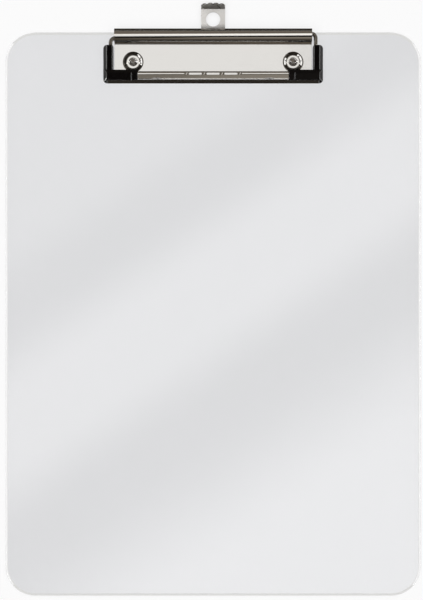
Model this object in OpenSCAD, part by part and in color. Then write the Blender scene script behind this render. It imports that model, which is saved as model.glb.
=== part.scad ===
// Clipboard with a clear board and a wire-sprung clip, in millimetres.
// X runs across the board, Y towards the clip end, Z up from the back of the board.

/* [Board] */
// width of the board
board_w = 230; // [200:1:260]
// length of the board
board_l = 312; // [280:1:360]
// thickness of the board
board_t = 3; // [2:0.1:5]
// radius of the corners, seen from the front
corner_r = 16.5; // [5:0.5:30]

/* [Base plate] */
// thickness of the sheet
plate_t = 0.9; // [0.6:0.05:1.2]
// half of the plate's length across the board
plate_half = 54.5; // [40:0.5:70]
// height of the plate's underside above the board
plate_lift = 1; // [0.9:0.05:1.5]
// outer radius of the rolled barrel
barrel_r = 4.1; // [3.9:0.05:5]
// distance of the barrel's axis from the top edge of the board
barrel_in = 2.55; // [1:0.05:6]
// angle at which the roll's free edge stops short of the plate
roll_gap_angle = 55; // [50:1:80]
// distance of the plate's front edge from the top edge of the board
plate_reach = 26; // [24:0.1:26.2]
// length of the flat at the front that lies on the board
foot_flat = 1.4; // [1.2:0.1:1.6]
// length of the slope between the two levels of the plate
foot_slope = 1.2; // [1:0.1:2]
// distance of the tab guides from the centre line
guide_x = 8.25; // [7.5:0.05:10]
// width of each tab guide
guide_w = 2.6; // [2:0.1:4]
// length of each tab guide
guide_l = 3; // [2:0.1:4]

/* [Rivets] */
// distance of each rivet from the centre line
rivet_x = 44.2; // [30:0.1:50]
// distance of the rivets from the top edge of the board
rivet_in = 16.6; // [14:0.1:18]
// outer radius of the shank
shank_r = 2.5; // [2.4:0.05:3]
// radius of the hole in the tubular end
bore_r = 2.2; // [1.4:0.05:2.25]
// height of the hole's shoulder above the back of the board
bore_z = 2.2; // [1.9:0.1:3]
// angle of the hole's pointed floor
point_angle = 118; // [90:1:140]
// outer radius of the rolled head
head_r = 3.75; // [3.4:0.05:4]
// height of the rolled head
head_h = 1.35; // [0.9:0.05:1.6]
// radius of the rounding on the rolled head
head_round = 0.3; // [0.2:0.05:0.6]
// radius of the flat head at the back
back_r = 4; // [3.5:0.05:4.5]
// thickness of the flat head at the back
back_t = 0.4; // [0.3:0.05:0.6]
// radius of the dished ring in the plate round each rivet
dish_r = 5.75; // [5:0.05:6.5]
// radius of the flat floor of the dish
dish_floor_r = 4.1; // [3.8:0.05:4.6]

/* [Washers] */
// outer radius of the washers at the back
washer_r = 4.5; // [4:0.05:5]
// thickness of the washers
washer_t = 0.6; // [0.4:0.05:1]

/* [Jaw] */
// thickness of the sheet
jaw_t = 0.8; // [0.6:0.05:1]
// half of the jaw's length
jaw_half = 58.5; // [45:0.5:70]
// distance of the jaw's foot from the top edge of the board
jaw_reach = 28.4; // [26:0.1:32]
// gap between the jaw's foot and the board
jaw_gap = 0.3; // [0.1:0.05:0.5]
// angle of the flared toe along the foot
toe_angle = 43; // [38:0.5:46]
// depth of the toe along the board
toe_y = 2; // [1.95:0.05:2.3]
// height of the upright wall between the toe and the corner of the bend
wall_h = 2.1; // [1.9:0.05:2.4]
// slope of the land behind the bend
land_angle = 15.9; // [5:0.1:25]
// depth of the jaw from the bend to its rear edge
land_y = 4.55; // [4.2:0.05:4.8]
// length of the flange turned down at the rear edge
flange_l = 2; // [1.2:0.05:2.2]
// outer radius of the bend between the wall and the land
bend_r = 0.9; // [0.5:0.05:1.5]
// outer radius of the rear edge
rear_r = 1.5; // [1.2:0.05:1.6]
// distance of each stake mark from the centre line
stake_x = 31; // [20:0.5:40]
// radius of the ball that pressed the stake marks
stake_r = 12; // [6:0.5:16]
// depth of the stake marks at the corner of the bend
stake_depth = 0.6; // [0.4:0.05:0.7]
// spacing of the three raised pads on the crest
pad_pitch = 9.8; // [9:0.1:12]
// length of each pad
pad_l = 7; // [4:0.1:9]
// width of each pad
pad_w = 1.1; // [0.6:0.05:1.3]
// height of each pad above the crest
pad_h = 0.12; // [0.05:0.01:0.3]
// radius of the ball that pressed the dents between the pads
dent_r = 1.7; // [1.4:0.1:2.5]
// depth of the dents
dent_depth = 0.45; // [0.2:0.05:0.5]
// length of the cut at each end of the flange, where the wire comes out
flange_cut = 6; // [5.5:0.1:8]

/* [Spring wire] */
// diameter of the wire
wire_d = 2.2; // [1.6:0.1:2.4]
// distance of each arm from the centre line
arm_x = 56.6; // [50:0.1:70]
// distance between the two runs inside the barrel
run_pitch = 2.4; // [2.25:0.05:2.8]
// length by which each run stops short of the barrel's far end
run_short = 4; // [2:0.5:20]
// radius of the bends beside the barrel
neck_bend_r = 2.6; // [2:0.1:3.5]
// radius of the bends inside the corner caps
corner_bend_r = 3; // [2.5:0.1:4]
// gap between the jaw's wall and the run inside the jaw
bar_gap = 0.15; // [0.1:0.05:0.5]
// height of the run inside the jaw above the board
bar_h = 2.6; // [2:0.05:3]

/* [Corner caps] */
// distance of the caps' outer faces from the centre line
cap_x = 60.6; // [50:0.1:75]
// width of the leg beside the plate
cap_leg_w = 5.6; // [5:0.1:7]
// length of the cap along the board
cap_l = 19.3; // [15:0.1:22]
// distance of the cap's front face from the jaw's foot
cap_in = 1.5; // [1.3:0.05:1.75]
// length of the cap along the jaw
cap_along = 19; // [15:0.1:25]
// thickness of the wall over the land
cap_wall = 0.9; // [0.6:0.05:1.5]
// thickness of the wall behind the jaw
cap_back = 0.75; // [0.5:0.05:1.2]
// length of the collar at the cap's inner end
collar_l = 3.5; // [2:0.1:6]
// extra thickness of the collar
collar_h = 0.3; // [0.1:0.05:0.6]
// height of the cap's rear wall above the board
cap_back_lift = 2.2; // [2:0.05:3]
// gap between the caps and the board
cap_gap = 0.4; // [0.3:0.05:1]
// wall over the wire in the leg beside the plate
leg_wall = 0.9; // [0.6:0.05:1.5]
// rounding of the leg's inner edge
leg_round = 1.2; // [0.5:0.05:1.5]
// width of the slope along the cap's outer side
side_w = 1.9; // [1:0.1:2.2]
// angle of the slopes along the side and across the corner
side_angle = 42; // [30:1:45]
// rounding where the side slope meets the top of the leg
side_round = 0.8; // [0.3:0.05:1]
// length of the corner facet along the cap's front
facet_x = 3.5; // [2:0.1:5]
// length of the corner facet along the cap's side
facet_y = 1.3; // [0.8:0.1:2]
// rounding of the edges over the jaw
boot_round = 0.5; // [0.2:0.05:0.8]
// radius of the cap's front outer corner
cap_front_r = 1.8; // [1:0.1:1.9]
// radius of the cap's rear outer corner
cap_rear_r = 2; // [1:0.1:2.5]

/* [Hang tab] */
// thickness of the sheet
tab_t = 0.8; // [0.6:0.05:0.9]
// width of the tab
tab_w = 13.2; // [10:0.1:13.4]
// how far the tab stands out past the top edge of the board
tab_out = 16; // [12:0.1:20]
// radius of the hanging hole
hole_r = 4; // [2.5:0.1:4.5]
// distance of the hole's centre from the tab's top
hole_in = 8.9; // [8:0.1:12]
// angle of the bent-up lip
lip_angle = 50; // [30:1:70]
// length of the lip at its middle
lip_l = 4.35; // [3:0.05:6]
// length of the lip at its sides
lip_side = 2.7; // [2:0.05:4]
// outer radius of the lip's bend
lip_bend_r = 1.2; // [0.8:0.05:1.6]
// spacing of the four scallops
scallop_pitch = 3.15; // [2.8:0.05:3.3]
// radius of the scallops
scallop_r = 1.7; // [1.6:0.05:2]
// how much shorter the outer scallops are
scallop_drop = 0.5; // [0.2:0.05:1]
// half width of the shoulders on the hidden tail
tail_half = 10; // [9:0.1:12]
// length of the shoulders
tail_l = 2.5; // [2:0.1:4]

/* [Hidden] */
$fn = 72;
// running gap between pieces that slide or sit in one another
fit_gap = 0.05;
// gap round the rivets' shanks
hole_gap = 0.1;
// gap between a shoulder of the tab and its guide
stop_gap = 0.2;
// gap under the tab
tab_gap = 0.1;
// gap between each guide's rear end and the start of the roll
guide_gap = 0.5;
// gap round the washers in their pockets
pocket_gap = 0.3;
// depth of the rivets' flat heads below the back of the board
sink = 0.1;
// width of the flat ring that joins each dish to the plate
dish_rim = 0.25;
// overlap of cutting shapes past the faces that they cut
eps = 0.5;
// reach of cutting shapes that only have to be large enough
far = 200;
// depth by which a rounding bites into the edges that it joins
round_bite = 0.004;

top_y = (board_l + tab_out) / 2 - tab_out;
bottom_y = top_y - board_l;
edge_r = board_t / 2;

plate_z = board_t + plate_lift;
axis_y = top_y - barrel_in;
axis_z = plate_z + barrel_r;
plate_front = top_y - plate_reach;
slope_lo = plate_front + foot_flat;
slope_hi = slope_lo + foot_slope;
guide_y = axis_y - guide_l - guide_gap;

rivet_y = top_y - rivet_in;
dish_join_r = dish_r + dish_rim;
shank_hole_r = shank_r + hole_gap;
head_z = board_t + plate_t;
pocket_r = washer_r + pocket_gap;
washer_z = back_t + sink;
pocket_z = washer_z + washer_t;

jaw_foot_y = top_y - jaw_reach;
jaw_foot_z = board_t + jaw_gap;
bend_y = jaw_foot_y + toe_y;
knee_z = jaw_foot_z + toe_y * tan(toe_angle);
bend_z = knee_z + wall_h;
rear_y = bend_y + land_y;
rear_z = land_z_at(rear_y);
toe_n = inward(toe_angle);
wall_n = inward(90);
land_n = inward(land_angle);
flange_n = inward(-90);
flange_z = rear_z - flange_l;
notch_z = rear_z - jaw_t - bend_r / 2;
crest_y = rear_y - rear_r;
crest_z = rear_z + rear_r * (corner_shift(land_n, flange_n)[1] + 1);

wire_r = wire_d / 2;
bar_y = bend_y + jaw_t + bar_gap + wire_r;
bar_z = board_t + bar_h;
wire_tilt = atan((axis_z - bar_z) / (axis_y - bar_y));
wire_depth = norm([axis_z - bar_z, axis_y - bar_y]);
run_u = run_pitch / 2;

cap_front = jaw_foot_y + cap_in;
cap_rear = cap_front + cap_l;
cap_bottom = board_t + cap_gap;
leg_x = cap_x - cap_leg_w;
cap_end = cap_x - cap_along;
leg_top = wire_r + leg_wall;
slope_x = cap_x - side_w;
slope_n = inward(-side_angle);
end_x = jaw_half + fit_gap;
end_front = jaw_foot_y + fit_gap;
facet_mid = cap_front + facet_y / 2;
facet_turn = atan(facet_y / facet_x);

tab_z = board_t + tab_gap;
tab_top_y = top_y + tab_out;
lip_y = tab_top_y - lip_l * cos(lip_angle);
flat_n = [0, 1];
lip_n = [-sin(lip_angle), cos(lip_angle)];
hole_y = tab_top_y - hole_in;
tail_top = guide_y - stop_gap;

// unit vector to the right of a direction
function inward(a) = [sin(a), -cos(a)];
// shift that carries a corner between two edges inwards by one unit from both
function corner_shift(n1, n2) = (n1 + n2) / (1 + n1 * n2);
// height of the land's outer face at a place along the board
function land_z_at(y) = bend_z + (y - bend_y) * tan(land_angle);

// stretches an outline drawn in Y and Z along X
module along_x(l) {
    rotate([90, 0, 90])
        linear_extrude(height = l, center = true)
            children();
}

// stretches an outline drawn in X and Z along Y
module along_y(l) {
    rotate([90, 0, 0])
        translate([0, 0, -l])
            linear_extrude(height = l)
                children();
}

// wedge between two angles, for cutting sectors out of circles
module wedge(a1, a2) {
    polygon([[0, 0],
             [far * cos(a1), far * sin(a1)],
             [far * cos((a1 + a2) / 2), far * sin((a1 + a2) / 2)],
             [far * cos(a2), far * sin(a2)]]);
}

// section of the board from a corner's centre out to its round edge
module edge_section() {
    square([corner_r - edge_r, board_t]);
    translate([corner_r - edge_r, edge_r])
        intersection() {
            circle(r = edge_r);
            translate([0, -edge_r])
                square([edge_r, board_t]);
        }
}

// one corner of the board
module board_corner() {
    rotate_extrude(angle = 90)
        edge_section();
}

// straight border of the board, running along Y from the origin, round edge towards +X
module board_border(l) {
    along_y(l)
        edge_section();
}

module board_blank() {
    in_x = board_w / 2 - corner_r;
    in_top = top_y - corner_r;
    in_bottom = bottom_y + corner_r;
    in_l = in_top - in_bottom;
    translate([-in_x, in_bottom, 0])
        cube([2 * in_x, in_l, board_t]);
    translate([in_x, in_bottom, 0])
        board_border(in_l);
    translate([-in_x, in_top, 0])
        rotate([0, 0, 180])
            board_border(in_l);
    translate([in_x, in_top, 0])
        rotate([0, 0, 90])
            board_border(2 * in_x);
    translate([-in_x, in_bottom, 0])
        rotate([0, 0, -90])
            board_border(2 * in_x);
    translate([in_x, in_top, 0])
        board_corner();
    translate([-in_x, in_top, 0])
        rotate([0, 0, 90])
            board_corner();
    translate([-in_x, in_bottom, 0])
        rotate([0, 0, 180])
            board_corner();
    translate([in_x, in_bottom, 0])
        rotate([0, 0, -90])
            board_corner();
}

// clear board with two stepped rivet holes
module board() {
    color([0.8, 0.82, 0.82, 0.5])
        difference() {
            board_blank();
            for (side = [-1, 1])
                translate([side * rivet_x, rivet_y, 0]) {
                    translate([0, 0, -eps])
                        cylinder(r = shank_hole_r, h = board_t + 2 * eps);
                    translate([0, 0, -eps])
                        cylinder(r = pocket_r, h = pocket_z + eps);
                }
        }
}

// section of the plate: flat on the board, slope, raised flat, then the rolled barrel
module plate_section() {
    polygon([[plate_front, board_t],
             [slope_lo, board_t],
             [slope_hi, plate_z],
             [axis_y, plate_z],
             [axis_y, plate_z + plate_t],
             [slope_hi, plate_z + plate_t],
             [slope_lo, board_t + plate_t],
             [plate_front, board_t + plate_t]]);
    translate([axis_y, axis_z])
        difference() {
            circle(r = barrel_r);
            circle(r = barrel_r - plate_t);
            wedge(-90 - roll_gap_angle, -90);
        }
}

// dish that brings the sheet down to the board round a rivet
module rivet_dish() {
    rotate_extrude()
        polygon([[shank_hole_r, board_t],
                 [dish_floor_r, board_t],
                 [dish_r, plate_z],
                 [dish_join_r, plate_z],
                 [dish_join_r, plate_z + plate_t],
                 [dish_r, plate_z + plate_t],
                 [dish_floor_r, board_t + plate_t],
                 [shank_hole_r, board_t + plate_t]]);
}

// ridge pressed down beside the tab, which guides it and stops its shoulders
module tab_guide() {
    translate([-guide_w / 2, guide_y, tab_z])
        cube([guide_w, guide_l, plate_z - tab_z]);
}

// pressed plate with its rolled barrel
module base_plate() {
    color([0.78, 0.76, 0.72]) {
        difference() {
            along_x(2 * plate_half)
                plate_section();
            for (side = [-1, 1])
                translate([side * rivet_x, rivet_y, plate_z - eps])
                    cylinder(r = dish_join_r, h = plate_t + 2 * eps);
        }
        for (side = [-1, 1]) {
            translate([side * rivet_x, rivet_y, 0])
                rivet_dish();
            translate([side * guide_x, 0, 0])
                tab_guide();
        }
    }
}

// section of a rivet: shank with a blind hole, rolled head and flat back head
module rivet_section() {
    top_z = head_z + head_h;
    round_z = top_z - head_round;
    round_in = bore_r + head_round - round_bite;
    round_out = head_r - head_round;
    difference() {
        union() {
            translate([0, back_t])
                square([shank_r, round_z - back_t]);
            translate([0, sink])
                square([back_r, back_t]);
            translate([shank_r - fit_gap, head_z])
                square([round_out + head_round / 2 - shank_r, round_z - head_z]);
            translate([round_in, head_z])
                square([round_out - round_in, head_h]);
            translate([round_in, round_z])
                circle(r = head_round);
            translate([round_out, round_z])
                circle(r = head_round);
        }
        polygon([[0, bore_z - bore_r / tan(point_angle / 2)],
                 [bore_r, bore_z],
                 [bore_r, top_z + eps],
                 [0, top_z + eps]]);
    }
}

module rivet() {
    rotate_extrude()
        rivet_section();
}

// semi-tubular rivets, rolled over at the front
module rivet_left() {
    color([0.62, 0.6, 0.55])
        translate([-rivet_x, rivet_y, 0])
            rivet();
}

module rivet_right() {
    color([0.62, 0.6, 0.55])
        translate([rivet_x, rivet_y, 0])
            rivet();
}

module washer() {
    translate([0, 0, washer_z])
        difference() {
            cylinder(r = washer_r, h = washer_t);
            translate([0, 0, -eps])
                cylinder(r = shank_hole_r, h = washer_t + 2 * eps);
        }
}

// flat washers under the rivets' back heads
module washer_left() {
    color([0.68, 0.68, 0.66])
        translate([-rivet_x, rivet_y, 0])
            washer();
}

module washer_right() {
    color([0.68, 0.68, 0.66])
        translate([rivet_x, rivet_y, 0])
            washer();
}

// waste outside a rounded corner between two edges whose inward directions are given
module round_off(corner, n1, n2, r) {
    centre = corner + (r - round_bite) * corner_shift(n1, n2);
    difference() {
        polygon([centre,
                 centre - (r + eps) * n1,
                 centre - (r + eps) * corner_shift(n1, n2),
                 centre - (r + eps) * n2]);
        translate(centre)
            circle(r = r);
    }
}

// section of the jaw: flared toe, wall, land and turned-down rear edge
module jaw_section() {
    knee = [bend_y, knee_z];
    bend = [bend_y, bend_z];
    rear = [rear_y, rear_z];
    rear_in = rear + jaw_t * corner_shift(land_n, flange_n);
    difference() {
        union() {
            polygon([[jaw_foot_y, jaw_foot_z],
                     knee,
                     bend,
                     rear,
                     [rear_y, flange_z],
                     [rear_y - jaw_t, flange_z],
                     rear_in,
                     bend + jaw_t * corner_shift(wall_n, land_n),
                     knee + jaw_t * corner_shift(toe_n, wall_n),
                     [jaw_foot_y + jaw_t / sin(toe_angle), jaw_foot_z]]);
            round_off(rear_in, land_n, flange_n, rear_r - jaw_t);
        }
        round_off(bend, wall_n, land_n, bend_r);
        round_off(rear, land_n, flange_n, rear_r);
    }
}

// low pad with a level top, on the crest of the land
module pad() {
    translate([-pad_l / 2, crest_y - pad_w / 2, crest_z - jaw_t / 2])
        cube([pad_l, pad_w, pad_h + jaw_t / 2]);
}

// clamping bar
module jaw() {
    color([0.74, 0.72, 0.68]) {
        difference() {
            along_x(2 * jaw_half)
                jaw_section();
            for (side = [-1, 1]) {
                translate([side * stake_x, bend_y, bend_z])
                    rotate([(90 + land_angle) / 2, 0, 0])
                        translate([0, 0, stake_r - stake_depth])
                            sphere(r = stake_r);
                translate([side * jaw_half - flange_cut, crest_y, 0])
                    cube([2 * flange_cut, far, notch_z]);
            }
            for (i = [-3, -1, 1, 3])
                translate([i * pad_pitch / 2, crest_y, crest_z + dent_r - dent_depth])
                    sphere(r = dent_r);
        }
        for (i = [-1, 0, 1])
            translate([i * pad_pitch, 0, 0])
                pad();
    }
}

// quarter bend of the wire, from +X round to -Y, with its centre at the origin
module wire_bend(r, rw) {
    rotate_extrude(angle = 90)
        translate([r, 0])
            circle(r = rw);
}

// straight piece of the wire along X
module wire_x(x1, x2, rw) {
    translate([x1, 0, 0])
        rotate([0, 90, 0])
            cylinder(r = rw, h = x2 - x1);
}

// right half of the wire beside the barrel, drawn flat with the barrel's axis along X
module wire_arm(u, rw) {
    neck_x = arm_x - neck_bend_r;
    corner_x = arm_x - corner_bend_r;
    neck_y = -u - neck_bend_r;
    corner_y = -wire_depth + corner_bend_r;
    translate([0, -u, 0])
        wire_x(run_short - plate_half, neck_x, rw);
    translate([neck_x, neck_y, 0])
        wire_bend(neck_bend_r, rw);
    translate([arm_x, neck_y, 0])
        rotate([90, 0, 0])
            cylinder(r = rw, h = neck_y - corner_y);
    translate([corner_x, corner_y, 0])
        rotate([0, 0, -90])
            wire_bend(corner_bend_r, rw);
}

module wire_body(rw) {
    corner_x = arm_x - corner_bend_r;
    translate([0, axis_y, axis_z])
        rotate([wire_tilt, 0, 0]) {
            wire_arm(-run_u, rw);
            mirror([1, 0, 0])
                wire_arm(run_u, rw);
            translate([0, -wire_depth, 0])
                wire_x(-corner_x, corner_x, rw);
        }
}

// one formed wire: two ends in the barrel, two arms and a run inside the jaw
module spring_wire() {
    color([0.55, 0.54, 0.52])
        wire_body(wire_r);
}

// outline of the jaw and all that is inside it, with a gap round it
module jaw_envelope() {
    rear = [rear_y + fit_gap, rear_z + fit_gap];
    difference() {
        polygon([[jaw_foot_y - fit_gap, board_t],
                 [jaw_foot_y - fit_gap, jaw_foot_z],
                 [bend_y - fit_gap, bend_z + fit_gap],
                 rear,
                 [rear_y + fit_gap, board_t]]);
        round_off(rear, land_n, flange_n, rear_r);
    }
}

// section of a cap over the jaw, made thicker by a given amount
module boot_section(extra) {
    top = cap_wall + extra;
    front = [cap_front, land_z_at(cap_front) + top];
    crest = [rear_y - top, land_z_at(rear_y - top) + top];
    rear = [rear_y + cap_back + extra, rear_z - top / 2];
    fall_n = inward(atan2(rear[1] - crest[1], rear[0] - crest[0]));
    difference() {
        polygon([[cap_front, bend_z],
                 front,
                 crest,
                 rear,
                 [rear[0], board_t + cap_back_lift],
                 [rear_y, board_t + cap_back_lift]]);
        round_off(front, inward(90), land_n, boot_round);
        round_off(crest, land_n, fall_n, boot_round);
        round_off(rear, fall_n, flange_n, boot_round);
    }
}

// waste outside a rounded corner of a plan or a leg
module corner_cut(r, a) {
    rotate(a)
        difference() {
            square([r + eps, r + eps]);
            circle(r = r);
        }
}

// plan of the right-hand cap: leg, boot and the wall that covers the jaw's end
module cap_plan() {
    difference() {
        union() {
            translate([leg_x, cap_front])
                square([cap_leg_w, cap_l]);
            translate([cap_end, cap_front])
                square([cap_along, cap_l / 2]);
            translate([end_x, end_front])
                square([cap_x - end_x, cap_l / 2]);
        }
        translate([cap_x - cap_front_r, end_front + cap_front_r])
            corner_cut(cap_front_r, -90);
        translate([cap_x - cap_rear_r, cap_rear - cap_rear_r])
            corner_cut(cap_rear_r, 0);
        translate([leg_x + leg_round, cap_rear - leg_round])
            corner_cut(leg_round, 90);
    }
}

// section of the leg beside the plate: rounded inner edge, sloped outer side
module leg_section() {
    difference() {
        polygon([[leg_x, -far / 2],
                 [leg_x, leg_top],
                 [slope_x, leg_top],
                 [cap_x, leg_top - side_w * tan(side_angle)],
                 [cap_x, -far / 2]]);
        translate([leg_x + leg_round, leg_top - leg_round])
            corner_cut(leg_round, 90);
        round_off([slope_x, leg_top], inward(0), slope_n, side_round);
    }
}

// stretches a section of the boot along X between two places
module boot(x1, x2, extra) {
    translate([(x1 + x2) / 2, 0, 0])
        along_x(x2 - x1)
            boot_section(extra);
}

// all that lies above the level plane through the origin
module upper_half() {
    translate([-far / 2, -far / 2, 0])
        cube(far);
}

// carries a shape to a place along the edge between the boot's top and its sloped end
module at_side_edge(y) {
    translate([slope_x, y, land_z_at(y) + cap_wall])
        children();
}

// leg, whose top follows the wire from the jaw's end to the rear
module leg() {
    translate([0, axis_y, axis_z])
        rotate([wire_tilt, 0, 0])
            translate([0, -wire_depth, 0])
                along_y(far)
                    leg_section();
}

// wall over the jaw's end, back to one place and up to one height
module end_wall(y, z) {
    translate([end_x, end_front, cap_bottom])
        cube([cap_x - end_x, y - end_front, z - cap_bottom]);
}

// boot with the wall over the jaw's end, cut back along the side and across the corner
module sloped_boot() {
    difference() {
        union() {
            boot(cap_end, cap_x, 0);
            end_wall(rear_y, bend_z);
            end_wall(facet_mid, rear_z);
        }
        at_side_edge(cap_front)
            rotate([land_angle, 0, 0])
                rotate([0, side_angle, 0])
                    upper_half();
        at_side_edge(cap_front + facet_y)
            rotate([side_angle, 0, facet_turn])
                upper_half();
    }
}

// outside of the right-hand cap
module cap_body() {
    intersection() {
        translate([0, 0, cap_bottom])
            linear_extrude(height = far)
                cap_plan();
        union() {
            leg();
            sloped_boot();
            boot(cap_end, cap_end + collar_l, collar_h);
        }
    }
}

// right-hand cap, hollowed for the jaw and the wire
module corner_cap() {
    difference() {
        cap_body();
        along_x(2 * (jaw_half + fit_gap))
            jaw_envelope();
        wire_body(wire_r + fit_gap);
    }
}

// moulded corner caps
module corner_cap_left() {
    color([0.06, 0.06, 0.07])
        mirror([1, 0, 0])
            corner_cap();
}

module corner_cap_right() {
    color([0.06, 0.06, 0.07])
        corner_cap();
}

// section of the tab: flat, then the bent-up lip
module tab_section() {
    corner = [lip_y, tab_z];
    lip_end = corner + lip_l * [cos(lip_angle), sin(lip_angle)];
    difference() {
        polygon([[tail_top - tail_l, tab_z],
                 corner,
                 lip_end,
                 lip_end + tab_t * lip_n,
                 corner + tab_t * corner_shift(flat_n, lip_n),
                 [tail_top - tail_l, tab_z + tab_t]]);
        round_off(corner, flat_n, lip_n, lip_bend_r);
    }
}

// waste outside the four scallops along the lip's crowned edge, drawn in the lip's own plane
module scallop_waste() {
    difference() {
        translate([-tab_w / 2 - eps, lip_side])
            square([tab_w + 2 * eps, lip_l]);
        for (side = [-1, 1]) {
            translate([side * scallop_pitch / 2, lip_l - scallop_r])
                circle(r = scallop_r);
            translate([side * scallop_pitch * 3 / 2, lip_l - scallop_r - scallop_drop])
                circle(r = scallop_r);
        }
    }
}

// sheet tab with a hanging hole, a bent-up lip and a tail with shoulders
module hang_tab() {
    color([0.76, 0.74, 0.71])
        difference() {
            union() {
                along_x(tab_w)
                    tab_section();
                translate([-tail_half, tail_top - tail_l, tab_z])
                    cube([2 * tail_half, tail_l, tab_t]);
            }
            translate([0, hole_y, tab_z - eps])
                cylinder(r = hole_r, h = tab_t + 2 * eps);
            translate([0, lip_y, tab_z])
                rotate([lip_angle, 0, 0])
                    translate([0, 0, -eps])
                        linear_extrude(height = tab_t + 2 * eps)
                            scallop_waste();
        }
}

board();
base_plate();
rivet_left();
rivet_right();
washer_left();
washer_right();
jaw();
spring_wire();
corner_cap_left();
corner_cap_right();
hang_tab();
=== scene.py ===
import math

import bpy
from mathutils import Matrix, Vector


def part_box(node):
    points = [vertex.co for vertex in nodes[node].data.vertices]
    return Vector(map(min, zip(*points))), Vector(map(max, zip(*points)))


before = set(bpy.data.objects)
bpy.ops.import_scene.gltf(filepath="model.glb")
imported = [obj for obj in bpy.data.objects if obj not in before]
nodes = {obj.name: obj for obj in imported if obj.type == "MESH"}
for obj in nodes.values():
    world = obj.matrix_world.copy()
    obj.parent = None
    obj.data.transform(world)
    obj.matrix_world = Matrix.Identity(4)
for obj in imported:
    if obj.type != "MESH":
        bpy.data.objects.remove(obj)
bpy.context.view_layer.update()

# Sizes are in metres unless a name says otherwise
MM = 0.001

# The photograph's frame: its long side in pixels, the scale on the board and the board point at its centre
LONG_SIDE_PX = 600
PX_SIZE = 0.5534 * MM
AIM = Vector((-0.9 * MM, -0.15 * MM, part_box("board")[1].z))
CAMERA_HEIGHT = 1.4
SENSOR_MM = 36

# Pieces that share a material or a lamp
CAPS = ("corner_cap_left", "corner_cap_right")
RIVETS = ("rivet_left", "rivet_right")
WASHERS = ("washer_left", "washer_right")

# The values that most of a noise lies between
NOISE_RANGE = (0.3, 0.7)

# The board's tints, the tint of the lamps' light through it, its gloss, and the sizes of the patches in its
# tint and its gloss
BOARD_TINTS = ((0.848, 0.85, 0.869), (0.833, 0.84, 0.855))
BOARD_SHADE = (0.843, 0.841, 0.829)
BOARD_ROUGHNESS = (0.02, 0.05)
BOARD_IOR = 1.52
BOARD_CLOUD, BOARD_SPECK = 60 * MM, 2.5 * MM
BOARD_RELIEF = 0.02 * MM
# The tints of its round edge at its ends and its sides: painted shade at the ends and painted light at the
# sides, lighter where the edge shows the lit floor
RIM_END_SHADE_TINT = (0.83, 0.83, 0.82)
RIM_SIDE_LIGHT_TINT = (0.88, 0.88, 0.88)
# The edge and the clear line along its sides, by the upright part of the surface's direction, and the turn
# from its ends to its sides
RIM_START = (0.999, 0.985)
RIM_CLEAR = ((0.3, 0.42), (0.985, 0.965))
RIM_CLEAR_SHARE = 0.95
RIM_TURN = 0.1
# Turns of light inside the board after which it leaves straight through
LIGHT_TURNS = 4

# Plated metals: the two colours of the grain, the range of roughness, the grain's squeeze along each axis and
# the depth of the waves
NICKEL = ((0.715, 0.70, 0.675), (0.695, 0.677, 0.65), (0.05, 0.09), (0.05, 1, 1), 0.02 * MM)
TAB_NICKEL = ((0.84, 0.825, 0.805), (0.79, 0.777, 0.76), (0.24, 0.34), (1, 0.05, 1), 0.02 * MM)
RIVET_METAL = ((0.74, 0.72, 0.69), (0.72, 0.70, 0.66), (0.05, 0.09), (1, 1, 1), 0.004 * MM)
WASHER_STEEL = ((0.62, 0.61, 0.59), (0.56, 0.55, 0.53), (0.2, 0.32), (1, 1, 1), 0.01 * MM)
SPRING_STEEL = ((0.64, 0.62, 0.59), (0.58, 0.56, 0.53), (0.1, 0.18), (1, 1, 1), 0.004 * MM)
# The sizes of the grain, of the patches in the gloss and of the waves, which run along the clip
GRAIN_SIZE, GRAIN_DEPTH = 0.6 * MM, 0.0002 * MM
GLOSS_PATCH = 9 * MM
WAVE_SIZE, WAVE_SQUEEZE = 14 * MM, (0.35, 1, 1)

# The dish round each rivet: its radius and edge, and its colour, a painted shade that stands in for the dark
# reflection in its slope
DISH_RADIUS = 5.75 * MM
DISH_EDGE = 0.15 * MM
DISH_PAINTED_SHADE = (0.1, 0.093, 0.082)
# Painted highlights in bright patches on the dishes' slope: their reach from the rivet, their colour, their
# size and cut in the noise, and the sides that they face with the least share of each
SHINE_RADIUS = 5.15 * MM
SHINE_PAINTED_HIGHLIGHT = (0.95, 0.935, 0.91)
SHINE_PATCH, SHINE_CUT = 1.1 * MM, (0.37, 0.43)
SHINE_SIDE, SHINE_SHARE = (-0.951, -0.309, 0), (0.37, 0.41)
BACK_SIDE, BACK_SHARE = (0.995, -0.1, 0), (0.45, 0.48)
# The holes in the rivets: their radius and colour, a painted light that makes them pale and bluish, and the
# size and depth of the dents in them
HOLE_RADIUS = 2.2 * MM
HOLE_PAINTED_LIGHT = (0.92, 0.93, 0.97)
HOLE_DENT_SIZE, HOLE_DENT_DEPTH = 0.8 * MM, 0.12 * MM

# The black plastic's tints and gloss, and its mottle and waves
BLACK_TINTS = ((0.0022, 0.0016, 0.0016), (0.0044, 0.0034, 0.0034))
BLACK_ROUGHNESS = (0.1, 0.18)
BLACK_IOR, BLACK_SPECULAR = 1.5, 0.2
MOTTLE_SIZE, MOTTLE_DEPTH = 1.2 * MM, 0.0006 * MM
MOULD_WAVE_SIZE, MOULD_WAVE_DEPTH = 6 * MM, 0.03 * MM

# The rounding of edges
METAL_EDGE = 0.12 * MM
CAP_EDGE = 0.7 * MM
EDGE_SAMPLES = 6

# Painted shade that darkens the hang tab close to the barrel
SHADE_REACH = 4.5 * MM
SHADE_SAMPLES = 8
SHADE_RANGE = (0.45, 0.95)
SHADE_COLOUR = (0.05, 0.047, 0.043)

# The floor and the share of it that glows where it is seen
FLOOR_GAP = 0.3 * MM
FLOOR_RADIUS = 60
FLOOR_COLOURS = ((0.94, 0.94, 0.94), (0.945, 0.945, 0.945))
FLOOR_MOTTLE = 0.2
FLOOR_ROUGHNESS = 0.9
FLOOR_GLOW = 1.0
FLOOR_GLOW_SHARE = 0.75

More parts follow.
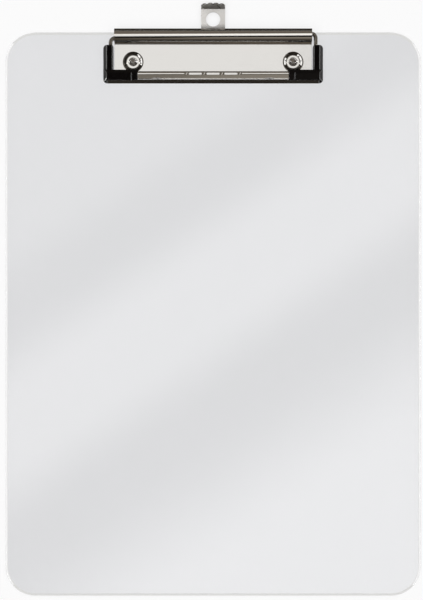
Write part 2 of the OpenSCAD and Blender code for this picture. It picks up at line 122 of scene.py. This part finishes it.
# The room: pale at the horizon, dim above it and a little lighter overhead, by the sine of the elevation
HORIZON_COLOUR = (1.0, 1.0, 1.0)
ROOM_COLOUR = (0.165, 0.142, 0.117)
OVERHEAD_COLOUR = (0.30, 0.272, 0.235)
ROOM_RANGE = (math.sin(math.radians(8)), math.sin(math.radians(16)))
OVERHEAD_RANGE = (math.sin(math.radians(46)), math.sin(math.radians(64)))

# Lamps: radiance 1 shows a white card as white
SOFTBOX_HEIGHT = 1.5
SOFTBOX_TURN = math.radians(60)
SOFTBOX_NEAR, SOFTBOX_FAR = 0.015, 0.46
SOFTBOX_LENGTH = 3.0
SOFTBOX_RADIANCE = 1.06
FILL_HEIGHT = 2.6
FILL_SIZE = 3.2
FILL_RADIANCE = 1.75
FILL_TINT = (0.968, 1.0, 1.057)

# Small lamps that only some of the clip's pieces mirror: place, size, radiance and pieces
SPARKS = {
    "spark_right": (Vector((0.9, 0.1, 0.75)), (0.12, 0.7), 9, (*RIVETS, *CAPS)),
    "spark_left": (Vector((-0.9, 0.1, 0.75)), (0.12, 0.7), 9, (*RIVETS, *CAPS)),
    "spark_bend": (Vector((0.06, -0.62, 0.67)), (0.22, 0.17), 2.2, ("jaw",)),
    "spark_lip": (Vector((0, -0.7, 0.45)), (0.5, 0.25), 4.8, ("hang_tab",)),
    "spark_left_corner": (Vector((-0.147, 0.036, 0.021)), (0.05, 0.03), 90, CAPS),
    "spark_right_corner": (Vector((0.147, 0.036, 0.021)), (0.05, 0.03), 24, CAPS),
}
# Cards beside the clip that only some pieces mirror: lower edge, upper edge, length, radiance and pieces
SIDE_CARDS = {
    "low": (0.0, 0.1, 0.8, 1.8, CAPS),
    "high": (0.12, 0.5, 0.8, 12, CAPS),
    "plate": (0.1, 0.62, 1.3, 0.7, ("base_plate",)),
}
SIDE_CARD_REACH = 0.5

# Dark flags that show only in gloss: a ring round the table and an apron on the floor behind the board
RING_RADII = (0.6, 1.2)
RING_HEIGHT = 0.4
RING_RISE, RING_DROP = 0.3, 0.15
RING_SIDES = 48
RING_RADIANCE = 0.03
APRON_HALF_WIDTH = 100 * MM
APRON_LENGTH = 0.5
APRON_RADIANCE = 0.04
# A flag overhead that draws the dark line beside the barrel's bright one
LINE_CORNERS = ((0.02, -0.62), (-0.3, -0.62), (-0.3, -2.1), (-0.17, -2.1))
LINE_HEIGHT = 1.91
LINE_RADIANCE = 0.02
# A lamp below that flag that makes up for it in the jaw
VEIL_PLACE, VEIL_SIZE = Vector((-0.138, -0.802, 1.2)), (0.16, 0.94)
VEIL_TURN = math.radians(-9.1)
VEIL_RADIANCE = 0.2

# The board's sheen: distances across its diagonal bands, on the board, and the radiance of each
BAND_TURN = math.radians(34.5)
SHEEN_HEIGHT = 1.9
SHEEN_HALF_WIDTH = 0.45
SHEEN_NEAR, SHEEN_FAR = (-0.74, -0.52), 0.5
SHEEN_REACH = 1 + SHEEN_HEIGHT / CAMERA_HEIGHT
UPPER_EDGE, UPPER_RADIANCE = (62 * MM, 92 * MM), 1.05
MIDDLE_EDGES, MIDDLE_RADIANCE = ((54 * MM, 17 * MM), (-46 * MM, -10 * MM)), 2.0
LOWER_EDGE, LOWER_RADIANCE = (-55 * MM, -125 * MM), 2.7
GAP_RADIANCE = 0.2

# The face of a card whose four corners are listed in two rows
ROWS_FACE = (0, 1, 3, 2)


def link(tree, source, target):
    tree.links.new(source, target)


def axes(tree, output):
    """The X, Y and Z of one of the texture coordinates."""
    place = tree.nodes.new("ShaderNodeTexCoord")
    split = tree.nodes.new("ShaderNodeSeparateXYZ")
    link(tree, place.outputs[output], split.inputs["Vector"])
    return split.outputs


def coordinates(tree, squeeze=(1, 1, 1)):
    """Object coordinates in metres, multiplied by squeeze along each axis."""
    place = tree.nodes.new("ShaderNodeTexCoord")
    mapping = tree.nodes.new("ShaderNodeMapping")
    mapping.inputs["Scale"].default_value = squeeze
    link(tree, place.outputs["Object"], mapping.inputs["Vector"])
    return mapping.outputs["Vector"]


def noise(tree, vector, size, detail=3):
    """Noise whose patches are about size metres across."""
    tex = tree.nodes.new("ShaderNodeTexNoise")
    tex.inputs["Scale"].default_value = 1 / size
    tex.inputs["Detail"].default_value = detail
    link(tree, vector, tex.inputs["Vector"])
    return tex.outputs["Fac"]


def maths(tree, operation, first, second):
    """One arithmetic step; a plain number or a socket on either side."""
    node = tree.nodes.new("ShaderNodeMath")
    node.operation = operation
    for socket, value in zip(node.inputs, (first, second)):
        if isinstance(value, (int, float)):
            socket.default_value = value
        else:
            link(tree, value, socket)
    return node.outputs["Value"]


def vector_maths(tree, operation, socket, vector):
    """A number from a socket's vector and a plain one."""
    node = tree.nodes.new("ShaderNodeVectorMath")
    node.operation = operation
    link(tree, socket, node.inputs[0])
    node.inputs[1].default_value = vector
    return node.outputs["Value"]


def spread(tree, value, low, high, start=NOISE_RANGE[0], end=NOISE_RANGE[1]):
    """Maps a value from start..end to low..high."""
    ranged = tree.nodes.new("ShaderNodeMapRange")
    ranged.inputs["From Min"].default_value = start
    ranged.inputs["From Max"].default_value = end
    ranged.inputs["To Min"].default_value = low
    ranged.inputs["To Max"].default_value = high
    link(tree, value, ranged.inputs["Value"])
    return ranged.outputs["Result"]


def ramp(tree, value, start, end, height=1):
    """A smooth step from 0 at start to height at end, where start may be the larger."""
    step = tree.nodes.new("ShaderNodeMapRange")
    step.interpolation_type = "SMOOTHSTEP"
    step.inputs["From Min"].default_value = min(start, end)
    step.inputs["From Max"].default_value = max(start, end)
    step.inputs["To Min"].default_value = 0 if start < end else height
    step.inputs["To Max"].default_value = height if start < end else 0
    link(tree, value, step.inputs["Value"])
    return step.outputs["Result"]


def blend_colours(tree, share, first, second):
    """A colour between first and second, by share; either is a plain colour or a socket."""
    mix = tree.nodes.new("ShaderNodeMix")
    mix.data_type = "RGBA"
    for socket, colour in ((mix.inputs["A"], first), (mix.inputs["B"], second)):
        if isinstance(colour, tuple):
            socket.default_value = (*colour, 1)
        else:
            link(tree, colour, socket)
    link(tree, share, mix.inputs["Factor"])
    return mix.outputs["Result"]


def mix_shaders(tree, share, first, second):
    """A shader between first and second, by share."""
    mix = tree.nodes.new("ShaderNodeMixShader")
    link(tree, share, mix.inputs["Fac"])
    link(tree, first, mix.inputs[1])
    link(tree, second, mix.inputs[2])
    return mix.outputs["Shader"]


def bump(tree, height, depth, base=None):
    """Surface relief of that depth in metres."""
    node = tree.nodes.new("ShaderNodeBump")
    node.inputs["Distance"].default_value = depth
    link(tree, height, node.inputs["Height"])
    if base is not None:
        link(tree, base, node.inputs["Normal"])
    return node.outputs["Normal"]


def soft_edges(tree, radius):
    """Normals that round off sharp edges by radius."""
    node = tree.nodes.new("ShaderNodeBevel")
    node.samples = EDGE_SAMPLES
    node.inputs["Radius"].default_value = radius
    return node.outputs["Normal"]


def level(tree, share, normal):
    """A normal that turns upright by share."""
    mix = tree.nodes.new("ShaderNodeMix")
    mix.data_type = "VECTOR"
    link(tree, normal, mix.inputs["A"])
    mix.inputs["B"].default_value = (0, 0, 1)
    link(tree, share, mix.inputs["Factor"])
    return mix.outputs["Result"]


def new_material(name):
    """A named material with one Principled shader; returns it with its node tree and that shader."""
    mat = bpy.data.materials.new(name)
    mat.use_nodes = True
    return mat, mat.node_tree, mat.node_tree.nodes["Principled BSDF"]


def rivet_distance(tree):
    """The distance from the nearer rivet's axis."""
    flat = coordinates(tree, (1, 1, 0))
    near = []
    for name in RIVETS:
        centre = (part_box(name)[0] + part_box(name)[1]) / 2
        near.append(vector_maths(tree, "DISTANCE", flat, (centre.x, centre.y, 0)))
    return maths(tree, "MINIMUM", *near)


def within(tree, away, radius):
    """1 closer to a rivet's axis than radius, 0 beyond it."""
    return ramp(tree, away, radius, radius - DISH_EDGE)


def dish_painted_highlight(tree, away):
    """A painted highlight: 1 in broken patches on the dishes' slope, at the right of both and at the left of
    the right one.
    """
    facing = tree.nodes.new("ShaderNodeTexCoord").outputs["Normal"]
    right = ramp(tree, vector_maths(tree, "DOT_PRODUCT", facing, SHINE_SIDE), *SHINE_SHARE)
    left = ramp(tree, vector_maths(tree, "DOT_PRODUCT", facing, BACK_SIDE), *BACK_SHARE)
    left = maths(tree, "MULTIPLY", left, maths(tree, "GREATER_THAN", axes(tree, "Object")["X"], 0))
    patches = ramp(tree, noise(tree, coordinates(tree), SHINE_PATCH, detail=1), *SHINE_CUT)
    shine = maths(tree, "MULTIPLY", maths(tree, "MAXIMUM", right, left), patches)
    return maths(tree, "MULTIPLY", shine, within(tree, away, SHINE_RADIUS))


def shaded(tree, colour):
    """A colour darkened close to other pieces, as painted shade."""
    near = tree.nodes.new("ShaderNodeAmbientOcclusion")
    near.samples = SHADE_SAMPLES
    near.inputs["Distance"].default_value = SHADE_REACH
    share = spread(tree, near.outputs["AO"], 0, 1, *SHADE_RANGE)
    return blend_colours(tree, share, SHADE_COLOUR, colour)


def plated(name, metal, painted_dishes=False, painted_holes=False, contact_shade=False):
    """Plated metal: fine grain in colour and gloss, and the slight waves of a pressed or drawn surface.

    It may have painted shade on the dishes round the rivets with painted highlights on their slopes, painted
    light in the rivets' holes, or painted shade close to other pieces."""
    light, dark, rough, grain, wave_depth = metal
    mat, tree, shader = new_material(name)
    fine = noise(tree, coordinates(tree, grain), GRAIN_SIZE, detail=4)
    broad = noise(tree, coordinates(tree), GLOSS_PATCH)
    wave = noise(tree, coordinates(tree, WAVE_SQUEEZE), WAVE_SIZE, detail=1)
    colour = blend_colours(tree, fine, light, dark)
    normal = soft_edges(tree, METAL_EDGE)
    if painted_dishes:
        away = rivet_distance(tree)
        shine = dish_painted_highlight(tree, away)
        # painted shade: the dishes are painted dark
        colour = blend_colours(tree, within(tree, away, DISH_RADIUS), colour, DISH_PAINTED_SHADE)
        # painted highlight: the patches are painted lighter and their normals turned upright so that they
        # mirror the softbox
        colour = blend_colours(tree, shine, colour, SHINE_PAINTED_HIGHLIGHT)
        normal = level(tree, shine, normal)
    if painted_holes:
        hole = within(tree, rivet_distance(tree), HOLE_RADIUS)
        # painted light: the holes are painted pale and bluish
        colour = blend_colours(tree, hole, colour, HOLE_PAINTED_LIGHT)
        dents = maths(tree, "MULTIPLY", hole, noise(tree, coordinates(tree), HOLE_DENT_SIZE, detail=1))
        normal = bump(tree, dents, HOLE_DENT_DEPTH, normal)
    if contact_shade:
        # painted shade close to other pieces
        colour = shaded(tree, colour)
    link(tree, colour, shader.inputs["Base Color"])
    link(tree, spread(tree, broad, *rough), shader.inputs["Roughness"])
    waves = bump(tree, wave, wave_depth, normal)
    link(tree, bump(tree, fine, GRAIN_DEPTH, waves), shader.inputs["Normal"])
    shader.inputs["Metallic"].default_value = 1
    return mat


def rim(tree):
    """The tint of the board's round edge, painted darker at its ends and lighter at its sides, the edge's
    mask and the mask of the clear line along its sides, a see-through strip that shows the lit floor as a
    bright line.
    """
    facing = axes(tree, "Normal")
    across, along, upright = (maths(tree, "ABSOLUTE", facing[axis], 0) for axis in "XYZ")
    sides = ramp(tree, maths(tree, "SUBTRACT", across, along), 0, RIM_TURN)
    # painted shade at the ends, painted light at the sides
    tint = blend_colours(tree, sides, RIM_END_SHADE_TINT, RIM_SIDE_LIGHT_TINT)
    outer, inner = RIM_CLEAR
    clear = ramp(tree, upright, *outer, RIM_CLEAR_SHARE)
    clear = maths(tree, "MULTIPLY", clear, ramp(tree, upright, *inner))
    return tint, ramp(tree, upright, *RIM_START), maths(tree, "MULTIPLY", clear, sides)


def clear_plastic():
    """Polished clear sheet, faintly grey, that lets the lamps through."""
    mat, tree, shader = new_material("clear_plastic")
    cloud = noise(tree, coordinates(tree), BOARD_CLOUD, detail=2)
    speck = noise(tree, coordinates(tree), BOARD_SPECK)
    rim_light_and_shade, edge, clear = rim(tree)
    tint = blend_colours(tree, edge, blend_colours(tree, cloud, *BOARD_TINTS), rim_light_and_shade)
    link(tree, tint, shader.inputs["Base Color"])
    link(tree, spread(tree, speck, *BOARD_ROUGHNESS), shader.inputs["Roughness"])
    link(tree, bump(tree, cloud, BOARD_RELIEF), shader.inputs["Normal"])
    shader.inputs["IOR"].default_value = BOARD_IOR
    shader.inputs["Transmission Weight"].default_value = 1
    path = tree.nodes.new("ShaderNodeLightPath")
    through = tree.nodes.new("ShaderNodeBsdfTransparent")
    through.inputs["Color"].default_value = (*BOARD_SHADE, 1)
    plain = tree.nodes.new("ShaderNodeBsdfTransparent")
    lost = maths(tree, "GREATER_THAN", path.outputs["Ray Depth"], LIGHT_TURNS)
    straight = maths(tree, "MAXIMUM", clear, lost)
    edged = mix_shaders(tree, straight, shader.outputs["BSDF"], plain.outputs["BSDF"])
    surface = mix_shaders(tree, path.outputs["Is Shadow Ray"], edged, through.outputs["BSDF"])
    link(tree, surface, tree.nodes["Material Output"].inputs["Surface"])
    return mat


def black_plastic():
    """Glossy moulded black plastic with a faint mottle."""
    mat, tree, shader = new_material("black_plastic")
    mottle = noise(tree, coordinates(tree), MOTTLE_SIZE, detail=4)
    wave = noise(tree, coordinates(tree), MOULD_WAVE_SIZE, detail=1)
    link(tree, blend_colours(tree, mottle, *BLACK_TINTS), shader.inputs["Base Color"])
    link(tree, spread(tree, mottle, *BLACK_ROUGHNESS), shader.inputs["Roughness"])
    waves = bump(tree, wave, MOULD_WAVE_DEPTH, soft_edges(tree, CAP_EDGE))
    link(tree, bump(tree, mottle, MOTTLE_DEPTH, waves), shader.inputs["Normal"])
    shader.inputs["IOR"].default_value = BLACK_IOR
    shader.inputs["Specular IOR Level"].default_value = BLACK_SPECULAR
    return mat


def floor_material():
    """Pale matt floor with a faint mottle that glows where it is seen and is see-through from below."""
    mat, tree, shader = new_material("floor")
    mottle = noise(tree, coordinates(tree), FLOOR_MOTTLE)
    link(tree, blend_colours(tree, mottle, *FLOOR_COLOURS), shader.inputs["Base Color"])
    shader.inputs["Roughness"].default_value = FLOOR_ROUGHNESS
    shader.inputs["Specular IOR Level"].default_value = 0
    glow = tree.nodes.new("ShaderNodeEmission")
    glow.inputs["Strength"].default_value = FLOOR_GLOW
    path = tree.nodes.new("ShaderNodeLightPath")
    seen = maths(tree, "MAXIMUM", path.outputs["Is Camera Ray"], path.outputs["Is Transmission Ray"])
    seen = maths(tree, "MAXIMUM", seen, path.outputs["Is Glossy Ray"])
    share = maths(tree, "MULTIPLY", seen, FLOOR_GLOW_SHARE)
    lit = mix_shaders(tree, share, shader.outputs["BSDF"], glow.outputs["Emission"])
    side = tree.nodes.new("ShaderNodeNewGeometry")
    through = tree.nodes.new("ShaderNodeBsdfTransparent")
    surface = mix_shaders(tree, side.outputs["Backfacing"], lit, through.outputs["BSDF"])
    link(tree, surface, tree.nodes["Material Output"].inputs["Surface"])
    return mat


def glow_material(name):
    """A material that only glows; returns it with its node tree and its Emission shader."""
    mat = bpy.data.materials.new(name)
    mat.use_nodes = True
    tree = mat.node_tree
    tree.nodes.clear()
    glow = tree.nodes.new("ShaderNodeEmission")
    out = tree.nodes.new("ShaderNodeOutputMaterial")
    link(tree, glow.outputs["Emission"], out.inputs["Surface"])
    return mat, tree, glow


def dress(names, mat):
    """Gives these CAD nodes a material."""
    for name in names:
        slots = nodes[name].data.materials
        slots.clear()
        slots.append(mat)


def add(name, data):
    """A new scene object."""
    obj = bpy.data.objects.new(name, data)
    bpy.context.scene.collection.objects.link(obj)
    return obj


def add_sheet(name, corners, faces, mat):
    """A flat-faced object of the stage."""
    mesh = bpy.data.meshes.new(name)
    mesh.from_pydata(corners, [], faces)
    mesh.materials.append(mat)
    return add(name, mesh)


def show_only_in_gloss(obj):
    obj.visible_camera = False
    obj.visible_diffuse = False
    obj.visible_transmission = False
    obj.visible_shadow = False


def link_light(lit, names, state):
    """Lights only these CAD nodes (INCLUDE), or everything but them (EXCLUDE)."""
    group = bpy.data.collections.new(lit.name + "_receivers")
    for name in names:
        group.objects.link(nodes[name])
    for member in group.collection_objects:
        member.light_linking.link_state = state
    lit.light_linking.receiver_collection = group


def lamp(name, size, place, radiance, turn=0.0, aim=None, mirrored=True, lights=True, tint=(1, 1, 1)):
    """A flat soft lamp that faces down or at aim.

    Without mirrored it gives light but no reflection, and without lights a reflection but no light."""
    data = bpy.data.lights.new(name, "AREA")
    data.shape = "RECTANGLE"
    data.size, data.size_y = size
    data.energy = radiance * math.pi * size[0] * size[1]
    data.color = tint
    obj = add(name, data)
    obj.location = place
    obj.rotation_euler = (0, 0, turn)
    if aim is not None:
        obj.rotation_euler = (aim - obj.location).to_track_quat("-Z", "Y").to_euler()
    obj.visible_camera = False
    obj.visible_transmission = False
    obj.visible_glossy = mirrored
    obj.visible_diffuse = lights
    return obj


def add_floor():
    ends = (-FLOOR_RADIUS, FLOOR_RADIUS)
    corners = [(x, y, -FLOOR_GAP) for y in ends for x in ends]
    floor = add_sheet("floor", corners, [ROWS_FACE], floor_material())


def add_world():
    """Dim warm room above, pale towards the horizon."""
    world = bpy.data.worlds.new("room")
    bpy.context.scene.world = world
    world.use_nodes = True
    tree = world.node_tree
    height = axes(tree, "Generated")["Z"]
    sky = blend_colours(tree, spread(tree, height, 0, 1, *ROOM_RANGE), HORIZON_COLOUR, ROOM_COLOUR)
    sky = blend_colours(tree, spread(tree, height, 0, 1, *OVERHEAD_RANGE), sky, OVERHEAD_COLOUR)
    link(tree, sky, tree.nodes["Background"].inputs["Color"])


def add_main_lamps():
    """A long softbox over the clip, which the metal mirrors, and a broad fill without a reflection."""
    along = Vector((-math.sin(SOFTBOX_TURN), math.cos(SOFTBOX_TURN), 0))
    place = along * (SOFTBOX_NEAR + SOFTBOX_FAR) / 2
    place.z = SOFTBOX_HEIGHT
    size = (SOFTBOX_LENGTH, SOFTBOX_FAR - SOFTBOX_NEAR)
    softbox = lamp("softbox", size, place, SOFTBOX_RADIANCE, SOFTBOX_TURN)
    link_light(softbox, ["board", "spring_wire", *CAPS], "EXCLUDE")
    place = Vector((0, 0, FILL_HEIGHT))
    lamp("fill", (FILL_SIZE, FILL_SIZE), place, FILL_RADIANCE, mirrored=False, tint=FILL_TINT)


def add_reflections():
    """The small lamps and cards that show only as reflections in some pieces."""
    clip = (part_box("jaw")[0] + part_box("jaw")[1]) / 2
    for name, (place, size, radiance, pieces) in SPARKS.items():
        link_light(lamp(name, size, place, radiance, aim=clip, lights=False), pieces, "INCLUDE")
    tint = tuple(c / OVERHEAD_COLOUR[0] for c in OVERHEAD_COLOUR)
    veil = lamp("veil", VEIL_SIZE, VEIL_PLACE, VEIL_RADIANCE, VEIL_TURN, lights=False, tint=tint)
    link_light(veil, ["jaw"], "INCLUDE")
    for name, (low, high, length, radiance, pieces) in SIDE_CARDS.items():
        for side, end in ((-1, "left"), (1, "right")):
            place = Vector((side * SIDE_CARD_REACH, clip.y, (low + high) / 2))
            aim = Vector((0, place.y, place.z))
            size = (length, high - low)
            card = lamp("card_" + name + "_" + end, size, place, radiance, aim=aim, lights=False)
            link_light(card, pieces, "INCLUDE")


def add_sheen():
    """A ceiling card of soft diagonal bands that shows only as the board's sheen."""
    mat, tree, glow = glow_material("sheen")
    place = axes(tree, "Object")
    across = maths(tree, "MULTIPLY", place["X"], -math.sin(BAND_TURN) / SHEEN_REACH)
    along = maths(tree, "MULTIPLY", place["Y"], math.cos(BAND_TURN) / SHEEN_REACH)
    band = maths(tree, "ADD", across, along)
    upper = ramp(tree, band, *UPPER_EDGE, UPPER_RADIANCE)
    middle = ramp(tree, band, *MIDDLE_EDGES[0], MIDDLE_RADIANCE)
    middle = maths(tree, "MULTIPLY", middle, ramp(tree, band, *MIDDLE_EDGES[1]))
    lower = ramp(tree, band, *LOWER_EDGE, LOWER_RADIANCE)
    total = maths(tree, "ADD", maths(tree, "ADD", upper, middle), maths(tree, "ADD", lower, GAP_RADIANCE))
    link(tree, total, glow.inputs["Strength"])
    ends = zip((-SHEEN_HALF_WIDTH, SHEEN_HALF_WIDTH), SHEEN_NEAR)
    corners = [(x, y, SHEEN_HEIGHT) for x, near in ends for y in (near, SHEEN_FAR)]
    card = add_sheet("sheen", corners, [ROWS_FACE], mat)
    show_only_in_gloss(card)
    link_light(card, ["board"], "INCLUDE")


def add_flag(name, corners, faces, radiance):
    """A dark card in the room's hue that shows only in gloss."""
    mat, _, glow = glow_material(name)
    glow.inputs["Color"].default_value = (*(radiance * c / ROOM_COLOUR[0] for c in ROOM_COLOUR), 1)
    flag = add_sheet(name, corners, faces, mat)
    show_only_in_gloss(flag)


def add_flags():
    """The ring round the table, the apron behind the board and the flag overhead."""
    centre = (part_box("base_plate")[0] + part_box("base_plate")[1]) / 2
    turns = [2 * math.pi * i / RING_SIDES for i in range(RING_SIDES)]
    low = [(RING_RADII[0] * math.cos(t), centre.y + RING_RADII[1] * math.sin(t), 0) for t in turns]
    rise = [max(-math.sin(t), 0) * RING_RISE - max(math.sin(t), 0) * RING_DROP for t in turns]
    high = [(x, y, RING_HEIGHT + r) for (x, y, _), r in zip(low, rise)]
    sides = [(i, (i + 1) % RING_SIDES) for i in range(RING_SIDES)]
    faces = [(i, j, j + RING_SIDES, i + RING_SIDES) for i, j in sides]
    add_flag("ring_flag", low + high, faces, RING_RADIANCE)
    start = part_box("board")[1].y
    ends = (-APRON_HALF_WIDTH, APRON_HALF_WIDTH)
    corners = [(x, y, 0) for x in ends for y in (start, start + APRON_LENGTH)]
    add_flag("apron_flag", corners, [ROWS_FACE], APRON_RADIANCE)
    corners = [(x, y, LINE_HEIGHT) for x, y in LINE_CORNERS]
    add_flag("line_flag", corners, [tuple(range(len(corners)))], LINE_RADIANCE)


def add_camera():
    data = bpy.data.cameras.new("camera")
    data.sensor_width = SENSOR_MM
    data.lens = SENSOR_MM * CAMERA_HEIGHT / (LONG_SIDE_PX * PX_SIZE)
    camera = add("camera", data)
    camera.location = AIM + Vector((0, 0, CAMERA_HEIGHT))
    bpy.context.scene.camera = camera


dress(["board"], clear_plastic())
dress(["base_plate"], plated("nickel_plate", NICKEL, painted_dishes=True))
dress(["jaw"], plated("jaw_nickel", NICKEL))
dress(["hang_tab"], plated("tab_nickel", TAB_NICKEL, contact_shade=True))
dress(RIVETS, plated("rivet_metal", RIVET_METAL, painted_holes=True))
dress(WASHERS, plated("washer_steel", WASHER_STEEL))
dress(["spring_wire"], plated("spring_steel", SPRING_STEEL))
dress(CAPS, black_plastic())

add_floor()
add_world()
add_main_lamps()
add_reflections()
add_sheen()
add_flags()
add_camera()
bpy.context.scene.view_settings.view_transform = "Standard"
